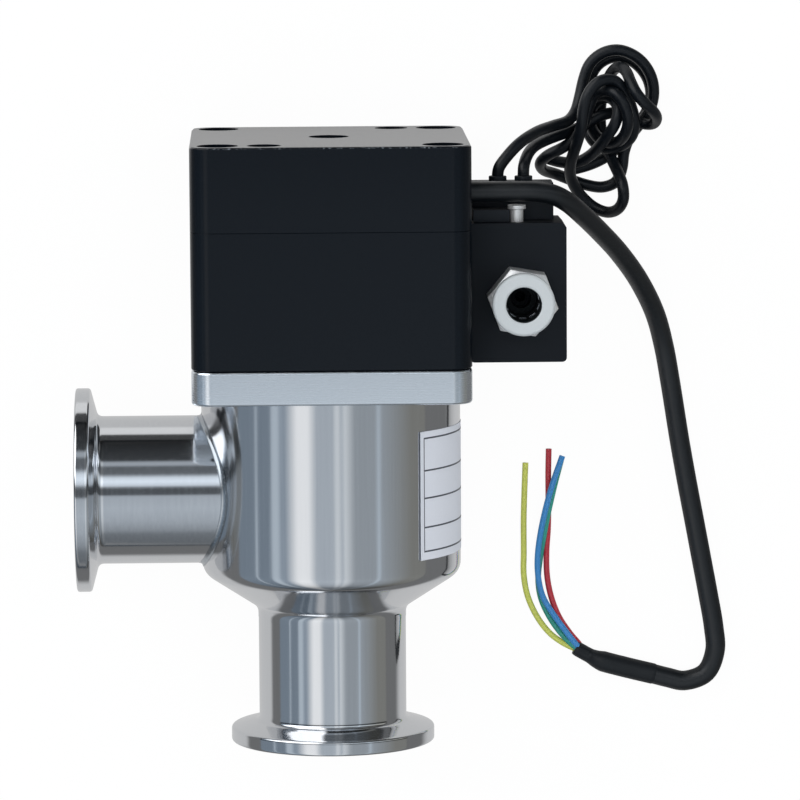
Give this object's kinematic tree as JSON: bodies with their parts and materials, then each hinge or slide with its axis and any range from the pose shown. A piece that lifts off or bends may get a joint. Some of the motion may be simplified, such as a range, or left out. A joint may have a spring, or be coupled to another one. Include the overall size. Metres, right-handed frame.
{
  "type": "vacuum angle valve",
  "caption": "Right-angle vacuum valve with a polished steel body, clamp-flange ports, a square black pneumatic actuator, a solenoid pilot with push-in air fitting, and trailing cables.",
  "frame": {"origin": "centre of the inlet port's flange face", "axes": "+Y along the stem from the inlet port to the actuator's cover, +X away from the side port towards the pilot valve, +Z out of the actuator's front; the valve lies on the actuator's back"},
  "size_m": [0.1296, 0.1356, 0.054],
  "materials": {
    "polished_steel": "mirror-polished stainless steel",
    "brushed_steel": "fine turned and ground steel",
    "black_anodised": "satin black anodised aluminium",
    "bare_aluminium": "turned aluminium",
    "black_screw": "black oxide steel",
    "nickel": "nickel-plated brass",
    "bronze": "sintered bronze",
    "seal_rubber": "matt black rubber",
    "black_moulding": "matt black moulded plastic",
    "white_moulding": "white acetal",
    "copper_coil": "enamelled copper winding",
    "magnet": "bonded magnet",
    "circuit_board": "green circuit board",
    "cable_jacket": "satin black cable jacket",
    "shrink_sleeve": "matt heat-shrink sleeve",
    "yellow_wire": "yellow-green insulation",
    "green_wire": "green insulation",
    "blue_wire": "blue insulation",
    "red_wire": "red insulation"
  },
  "bodies": {
    "housing": {"body_shell": "polished_steel", "inlet_port": "polished_steel", "side_port": "polished_steel", "side_weld": "polished_steel", "square_flange": "brushed_steel", "flange_seal": "seal_rubber", "bellows_flange": "brushed_steel", "guide_bush": "bronze", "bellows": "brushed_steel", "rod_seal": "seal_rubber", "cylinder_body": "black_anodised", "cylinder_cover": "black_anodised", "long_screws": "black_screw", "cover_screws": "black_screw", "return_spring": "brushed_steel", "pilot_block": "black_anodised", "pilot_screws": "black_screw", "pilot_seal": "seal_rubber", "coil_cover": "black_moulding", "clamp_screw": "nickel", "lead_grommets": "black_moulding", "solenoid_coil": "copper_coil", "pole_piece": "brushed_steel", "plunger_spring": "brushed_steel", "fitting_body": "nickel", "tube_seal": "seal_rubber", "grip_ring": "brushed_steel", "sensor_board": "circuit_board", "sensor_grommet": "black_moulding", "sensor_cable": "cable_jacket", "heat_shrink": "shrink_sleeve", "wire_yellow": "yellow_wire", "wire_green": "green_wire", "wire_blue": "blue_wire", "wire_red": "red_wire", "lead_left": "cable_jacket", "lead_right": "cable_jacket", "lead_hank": "cable_jacket"},
    "poppet": {"stem": "brushed_steel", "valve_disc": "brushed_steel", "disc_seal": "seal_rubber", "piston": "bare_aluminium", "piston_seal": "seal_rubber", "piston_magnet": "magnet", "stem_nut": "brushed_steel"},
    "release": {"release_ring": "white_moulding"},
    "plunger": {"plunger": "brushed_steel"}
  },
  "joints": [
    {"name": "poppet_lift", "type": "slide", "parent": "housing", "child": "poppet", "axis": [0, 1, 0], "range_m": [0, 0.01], "stiffness_N_per_m": 2500, "springref_m": -0.012, "deforming": ["bellows", "return_spring"]},
    {"name": "release_press", "type": "slide", "parent": "housing", "child": "release", "axis": [0, 0, -1], "range_m": [0, 0.0009], "stiffness_N_per_m": 1500, "springref_m": -0.001},
    {"name": "plunger_lift", "type": "slide", "parent": "housing", "child": "plunger", "axis": [0, 1, 0], "range_m": [0, 0.0008], "stiffness_N_per_m": 600, "springref_m": -0.001, "deforming": ["plunger_spring"]}
  ]
}
